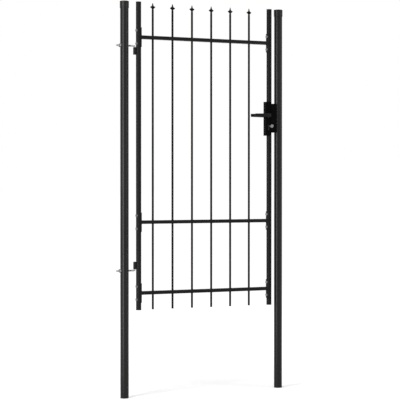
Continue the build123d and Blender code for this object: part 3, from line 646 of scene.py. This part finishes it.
# %% [markdown]
# ## Nuts
# A hook bolt is drawn tight by a hexagon nut. A six-sided prism looks wrong because real nuts are turned on
# their corners first: a cone cuts each corner back, which leaves the curved edge that catches the light. The
# ring below is a hexagon in plan whose top and bottom fall away outside the turned circle.

# %% Turn the nuts
NUT_FLATS = 17.0
NUT_TURNED = 0.96
NUT_CONE = math.radians(30.0)
BORE_INSIDE_BAR = 0.5
MOUTH_OUTSIDE_BAR = 0.6
MOUTH_DEPTH = 1.2
NUT_POINTS = 96


def hexagon_reach(angle, flats):
    """Distance from the middle of a hexagon to its edge."""
    turn = (angle + math.pi / 6) % (math.pi / 3) - math.pi / 6
    return flats / 2 / math.cos(turn)


def hexagon_nut(maker, outer_x, thick, bar_radius, leg_z):
    """A nut about the leg of a hook, with two of its flats upright."""
    turned = NUT_FLATS / 2 * NUT_TURNED
    bore, mouth = bar_radius - BORE_INSIDE_BAR, bar_radius + MOUTH_OUTSIDE_BAR
    sections = []
    for angle in turns(NUT_POINTS):
        reach = hexagon_reach(angle, NUT_FLATS)
        fall = max(0.0, reach - turned) * math.tan(NUT_CONE)
        half = ((bore, MOUTH_DEPTH), (mouth, 0.0), (turned, 0.0), (reach, fall))
        other_half = [(radius, thick - depth) for radius, depth in reversed(half)]
        section = []
        for radius, depth in (*half, *other_half):
            y, z = radius * math.cos(angle), leg_z + radius * math.sin(angle)
            section.append(Vector((outer_x + depth, y, z)) * MM)
        sections.append(section)
    skin_rings(maker, sections, closed=True)


nuts_low, nuts_high = box_mm("hinge_nuts")
nut_maker = bmesh.new()
for name in HOOK_WAYS:
    hexagon_nut(nut_maker, nuts_low.x, nuts_high.x - nuts_low.x, *hook_size(name))
nuts = keep_piece("hinge_nuts_turned", nut_maker, hook_zinc, "posts", smooth_angle=25.0)
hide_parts("hinge_nuts")

# %% [markdown]
# ## Spear heads
# The heads are forged: a four-sided point, two barbs drawn out sideways and a neck that meets the picket. The
# CAD solid is three prisms that cross, so its faces are flat. A forging has no flat face, so here the head is
# a skin over cross sections that change from a diamond at the point to a circle at the picket. A smith works
# to a few gauge points, and so does the skin: a smooth curve runs through the sections below.

# %% Forge the spear heads
# Depth below the tip, half width, half thickness, and the corner power: 1 is round, 2 is a diamond.
SPEAR_SECTIONS = (
    (0.0, 0.6, 0.5, 1.1),
    (0.5, 1.3, 1.1, 1.2),
    (14.0, 5.2, 4.2, 1.45),
    (17.8, 8.2, 4.9, 1.45),
    (20.0, 12.7, 5.3, 1.5),
    (24.0, 16.3, 5.7, 1.5),
    (28.0, 12.7, 5.6, 1.45),
    (30.2, 8.3, 5.4, 1.3),
    (36.5, 5.4, 5.2, 1.0),
    (44.0, 5.98, 5.98, 1.0),
)
SPEAR_RINGS = 44
SPEAR_POINTS = 40


def smooth_curve(places, values):
    """A function for the smooth curve through the values that doesn't swing past any of them."""
    steps = [(b - a) / (q - p) for p, q, a, b in zip(places, places[1:], values, values[1:])]
    inner = [2 * s * t / (s + t) if s * t > 0 else 0.0 for s, t in zip(steps, steps[1:])]
    slopes = [steps[0], *inner, steps[-1]]

    def value_at(place):
        """The height of the curve at a place."""
        i = min(bisect.bisect_right(places, place), len(steps)) - 1
        width = places[i + 1] - places[i]
        t = (place - places[i]) / width
        ends = values[i] + (values[i + 1] - values[i]) * t * t * (3 - 2 * t)
        return ends + width * t * (1 - t) * (slopes[i] * (1 - t) - slopes[i + 1] * t)

    return value_at


def cornered(value, power):
    """The value raised to a power, with its sign kept."""
    return math.copysign(abs(value) ** power, value)


def spear_head(maker, x, tip_z):
    """A forged head on a picket at x, with its tip at a height."""
    depths, *columns = zip(*SPEAR_SECTIONS)
    curves = [smooth_curve(depths, column) for column in columns]
    even = [depths[-1] * i / SPEAR_RINGS for i in range(SPEAR_RINGS + 1)]
    rings = []
    for depth in sorted({*even, *depths}):
        wide, thick, power = (curve(depth) for curve in curves)
        ring = []
        for angle in turns(SPEAR_POINTS):
            px = x + wide * cornered(math.cos(angle), power)
            py = thick * cornered(math.sin(angle), power)
            ring.append(Vector((px, py, tip_z - depth)) * MM)
        rings.append(ring)
    skin_rings(maker, rings)


for number, x in enumerate(PICKETS_MM, start=1):
    node = f"spear_{number}"
    spear_maker = bmesh.new()
    spear_head(spear_maker, x, box_mm(node)[1].z)
    spear = keep_piece(node + "_forged", spear_maker, picket_paint, "leaf", smooth_angle=60.0)
    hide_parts(node)

# %% [markdown]
# ## Welds
# The leaf is welded before it is coated, so each seam shows as a soft bead of ripples under the paint. A bead
# could be a bump in the finish, but seen from the side it stands out of the corner. Each bead here is a tube
# along its seam whose radius swells once per ripple, with a little unevenness from a fixed seed.

# %% Lay a weld bead
BEAD_POINTS = 10
BEAD_RIPPLE = 1.5
BEAD_SWELL = 0.14
BEAD_UNEVEN = 0.05
BEAD_END = 0.35
SEAM_STEP = 0.5
weld_hand = random.Random(7)


def weld_bead(maker, line, radius_mm, closed=False):
    """A rippled bead along a line of points in millimetres."""
    points = [Vector(point) for point in line]
    count = len(points)
    rings = []
    travelled = 0.0
    side = None
    for i, point in enumerate(points):
        before = points[i - 1] if i > 0 or closed else points[0]
        after = points[(i + 1) % count] if i < count - 1 or closed else points[-1]
        heading = (after - before).normalized()
        if i > 0:
            travelled += (point - points[i - 1]).length
        side = heading.orthogonal() if side is None else side - heading * side.dot(heading)
        side.normalize()
        ripple = abs(math.sin(math.pi * travelled / BEAD_RIPPLE))
        radius = radius_mm * (1.0 - BEAD_SWELL + BEAD_SWELL * ripple)
        radius *= weld_hand.uniform(1.0 - BEAD_UNEVEN, 1.0 + BEAD_UNEVEN)
        if not closed and i in (0, count - 1):
            radius *= BEAD_END
        rings.append(round_ring(point, side, heading.cross(side), [radius] * BEAD_POINTS))
    skin_rings(maker, rings, closed=closed)


def straight_seam(x, y, low_z, high_z):
    """Evenly spaced points up an upright seam."""
    count = int((high_z - low_z) / SEAM_STEP)
    return [(x, y, low_z + (high_z - low_z) * i / count) for i in range(count + 1)]


print("weld bead ready")

# %% Welds on the hinge knuckles
KNUCKLE_BEAD = 2.0
KNUCKLE_WEB_HALF = 6.0
KNUCKLE_SEAM_OUT = 0.5
KNUCKLE_SEAM_INSET = 1.5

frame_welds = bmesh.new()
stile_low, stile_high = box_mm("hinge_stile")
stile_radius = (stile_high.x - stile_low.x) / 2
stile_x = stile_low.x + stile_radius
seam_x = stile_x - math.sqrt(stile_radius**2 - KNUCKLE_WEB_HALF**2) - KNUCKLE_SEAM_OUT
for name in ("upper_knuckle", "lower_knuckle"):
    low, high = box_mm(name)
    for side in (-1.0, 1.0):
        seam_y = side * (KNUCKLE_WEB_HALF + KNUCKLE_SEAM_OUT)
        seam = straight_seam(seam_x, seam_y, low.z + KNUCKLE_SEAM_INSET, high.z - KNUCKLE_SEAM_INSET)
        weld_bead(frame_welds, seam, KNUCKLE_BEAD)
print("knuckle seams at x", round(seam_x, 1))

# %% Welds on the rails
RAIL_BEAD = 1.5
RAIL_CORNER = 2.5
RAIL_SEAM_OUT = 0.3
CORNER_STEPS = 6
SIDE_STEP = 0.75


def rail_outline(half_depth, half_height):
    """Points round the rail's section, in Y and Z, with round corners."""
    flat_y, flat_z = half_depth - RAIL_CORNER, half_height - RAIL_CORNER
    corners = ((flat_y, flat_z), (-flat_y, flat_z), (-flat_y, -flat_z), (flat_y, -flat_z))
    bends = []
    for quarter, (y, z) in enumerate(corners):
        for i in range(CORNER_STEPS + 1):
            angle = math.pi / 2 * (quarter + i / CORNER_STEPS)
            bends.append(Vector((y + RAIL_CORNER * math.cos(angle), z + RAIL_CORNER * math.sin(angle))))
    outline = []
    for start, end in zip(bends, bends[1:] + bends[:1]):
        count = max(1, round((end - start).length / SIDE_STEP))
        outline += [start.lerp(end, i / count) for i in range(count)]
    return outline


saddle_radius = box_mm("top_hinge_saddle")[1].x - stile_x
for low, high in RAILS_MM:
    rail_z = (low.z + high.z) / 2
    outline = rail_outline((high.y - low.y) / 2, (high.z - low.z) / 2)
    for stile, facing in (("hinge_stile", 1.0), ("latch_stile", -1.0)):
        stile_x = middle_mm(stile).x
        seam = []
        for y, z in outline:
            reach = math.sqrt(saddle_radius**2 - y * y) + RAIL_SEAM_OUT
            seam.append((stile_x + facing * reach, y, rail_z + z))
        weld_bead(frame_welds, seam, RAIL_BEAD, closed=True)
keep_piece("frame_welds", frame_welds, leaf_paint, "leaf", smooth_angle=80.0)

# %% Welds on the pickets
PICKET_BEAD = 0.9
PICKET_SEAM_OUT = 0.3
COLLAR_BEAD = 0.7
COLLAR_SEAM_IN = 0.2
PICKET_SEAM_POINTS = 40


def level_ring(x, z, radius):
    """Points on a level circle about a picket."""
    return [(x + radius * math.cos(a), radius * math.sin(a), z) for a in turns(PICKET_SEAM_POINTS)]


picket_welds = bmesh.new()
picket_low, picket_high = box_mm("picket_1")
picket_radius = (picket_high.x - picket_low.x) / 2
for x in PICKETS_MM:
    for rail in RAILS_MM:
        for corner in rail:
            seam = level_ring(x, corner.z, picket_radius + PICKET_SEAM_OUT)
            weld_bead(picket_welds, seam, PICKET_BEAD, closed=True)
    collar = level_ring(x, picket_high.z, picket_radius - COLLAR_SEAM_IN)
    weld_bead(picket_welds, collar, COLLAR_BEAD, closed=True)
keep_piece("picket_welds", picket_welds, picket_paint, "leaf", smooth_angle=80.0)

# %% Welds on the lock box
TACK_BEAD = 1.6
TACK_COUNT = 5
TACK_HALF = 9.0
TACK_FROM_END = 15.0
TACK_INSIDE_WALL = 2.4

box_welds = bmesh.new()
box_low, box_high = box_mm("lock_box")
first_z, last_z = box_low.z + TACK_FROM_END, box_high.z - TACK_FROM_END
for i in range(TACK_COUNT):
    z = first_z + (last_z - first_z) * i / (TACK_COUNT - 1)
    for seam_y in (box_low.y + TACK_INSIDE_WALL, box_high.y - TACK_INSIDE_WALL):
        seam = straight_seam(box_high.x, seam_y, z - TACK_HALF, z + TACK_HALF)
        weld_bead(box_welds, seam, TACK_BEAD)
keep_piece("lock_box_welds", box_welds, lock_paint, "leaf", smooth_angle=80.0)

# %% [markdown]
# ## Key
# The key is stamped from nickel-plated brass: a flat bow with a ring hole, a neck, and a blade with a groove
# milled along each side and cuts filed into its lower edge. The outline is drawn once and given thickness;
# the grooves and the hole are taken out with booleans, as a mill and a punch would.

# %% Draw the key
BLADE_HALF = 4.0
TIP_SLOPE = 1.2
TIP_UPPER = 2.6
TIP_LOWER = -2.0
BOW_HALF = 13.0
BOW_FIRST = math.radians(20.0)
BOW_STEPS = 24
BOW_SQUARE = 0.8
NECK_FROM_BOW = 14.4
CUT_DEPTHS = (1.6, 2.6, 1.2)
CUT_FROM_TIP = 14.4
CUT_PITCH = 4.2
CUT_HALF = 1.6
CUT_FLOOR_HALF = 0.5

key_low, key_high = box_mm("key")
key_middle = (key_low + key_high) / 2
bow_y = key_low.y + BOW_HALF


def key_outline():
    """The key in Y, and in Z about its middle height, from the tip of the blade round the bow and back."""
    tip_y, neck_y = key_high.y, bow_y + NECK_FROM_BOW
    outline = [(tip_y, TIP_UPPER), (tip_y - TIP_SLOPE, BLADE_HALF), (neck_y, BLADE_HALF)]
    bow_high = (key_high.z - key_low.z) / 2
    for i in range(BOW_STEPS + 1):
        angle = BOW_FIRST + 2 * (math.pi - BOW_FIRST) * i / BOW_STEPS
        y = bow_y + BOW_HALF * cornered(math.cos(angle), BOW_SQUARE)
        outline.append((y, bow_high * cornered(math.sin(angle), BOW_SQUARE)))
    outline.append((neck_y, -BLADE_HALF))
    for i, depth in enumerate(CUT_DEPTHS):
        y = tip_y - CUT_FROM_TIP + CUT_PITCH * i
        floor_z = depth - BLADE_HALF
        outline += [(y - CUT_HALF, -BLADE_HALF), (y - CUT_FLOOR_HALF, floor_z)]
        outline += [(y + CUT_FLOOR_HALF, floor_z), (y + CUT_HALF, -BLADE_HALF)]
    outline += [(tip_y - TIP_SLOPE, -BLADE_HALF), (tip_y, TIP_LOWER)]
    return outline


key_maker = bmesh.new()
key_faces = []
for x in (key_low.x, key_high.x):
    key_faces.append([Vector((x, y, key_middle.z + z)) * MM for y, z in key_outline()])
skin_rings(key_maker, key_faces)
key = keep_piece("key_stamped", key_maker, key_nickel, "key", smooth_angle=30.0)

# %% Mill and punch the key
GROOVE_SIZE = Vector((1.3, 42.0, 1.5))
GROOVE_Y = -26.0
GROOVE_LEVELS = (0.9, -0.6)
HOLE_RADIUS = 3.0
HOLE_FROM_END = 8.0
HOLE_POINTS = 40
PUNCH_LENGTH = 12.0
TUMBLED_EDGE = 0.25
TUMBLED_STEPS = 2
TUMBLED_FROM = math.radians(40.0)

tool_maker = bmesh.new()
for x, level in zip((key_low.x, key_high.x), GROOVE_LEVELS):
    groove = bmesh.ops.create_cube(tool_maker, size=1.0)["verts"]
    bmesh.ops.scale(tool_maker, verts=groove, vec=GROOVE_SIZE * MM)
    bmesh.ops.translate(tool_maker, verts=groove, vec=Vector((x, GROOVE_Y, key_middle.z + level)) * MM)
hole_place = Vector((key_middle.x, key_low.y + HOLE_FROM_END, key_middle.z)) * MM
bmesh.ops.create_cone(
    tool_maker,
    cap_ends=True,
    segments=HOLE_POINTS,
    radius1=HOLE_RADIUS * MM,
    radius2=HOLE_RADIUS * MM,
    depth=PUNCH_LENGTH * MM,
    matrix=Matrix.Translation(hole_place) @ Matrix.Rotation(math.pi / 2, 4, "Y"),
)
tool = link_mesh("key_cutter", tool_maker)
cut = key.modifiers.new("mill_and_punch", "BOOLEAN")
cut.operation = "DIFFERENCE"
cut.solver = "EXACT"
cut.object = tool
ease = key.modifiers.new("tumbled_edges", "BEVEL")
ease.width = TUMBLED_EDGE * MM
ease.segments = TUMBLED_STEPS
ease.limit_method = "ANGLE"
ease.angle_limit = TUMBLED_FROM
graph = bpy.context.evaluated_depsgraph_get()
milled = bpy.data.meshes.new_from_object(key.evaluated_get(graph))
key.modifiers.clear()
key.data = milled
bpy.data.objects.remove(tool)
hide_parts("key")
print("key faces:", len(milled.polygons))

# %% [markdown]
# ## Latch spring
# A short coil of wire behind the latch bolt pushes it out again after the lever lets go. The CAD coil is
# stiff, and the bolt would pass through it when it is drawn back. Here the coil is wound again as a mesh of
# wire over the length and width of the CAD coil.

# %% Wind the latch spring
SPRING_WIRE = 0.4
SPRING_TURNS = 4
RINGS_PER_COIL = 28
WIRE_POINTS = 10

spring_low, spring_high = box_mm("latch_spring")
coil_radius = (spring_high.y - spring_low.y) / 2 - SPRING_WIRE
coil_length = spring_high.x - spring_low.x - 2 * SPRING_WIRE
coil_start = Vector((spring_low.x + SPRING_WIRE, 0.0, (spring_low.z + spring_high.z) / 2))
coil_steps = SPRING_TURNS * RINGS_PER_COIL
coil_rise = coil_length / (2 * math.pi * SPRING_TURNS)
coil_rings = []
for i in range(coil_steps + 1):
    turn = 2 * math.pi * i / RINGS_PER_COIL
    outward = Vector((0.0, math.cos(turn), math.sin(turn)))
    heading = Vector((coil_rise, -coil_radius * math.sin(turn), coil_radius * math.cos(turn))).normalized()
    middle = coil_start + Vector((coil_length * i / coil_steps, 0.0, 0.0)) + coil_radius * outward
    coil_rings.append(round_ring(middle, outward, heading.cross(outward), [SPRING_WIRE] * WIRE_POINTS))
coil_maker = bmesh.new()
skin_rings(coil_maker, coil_rings)
coil = keep_piece("latch_spring_wound", coil_maker, spring_wire, "leaf", smooth_angle=60.0)
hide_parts("latch_spring")
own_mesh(coil)
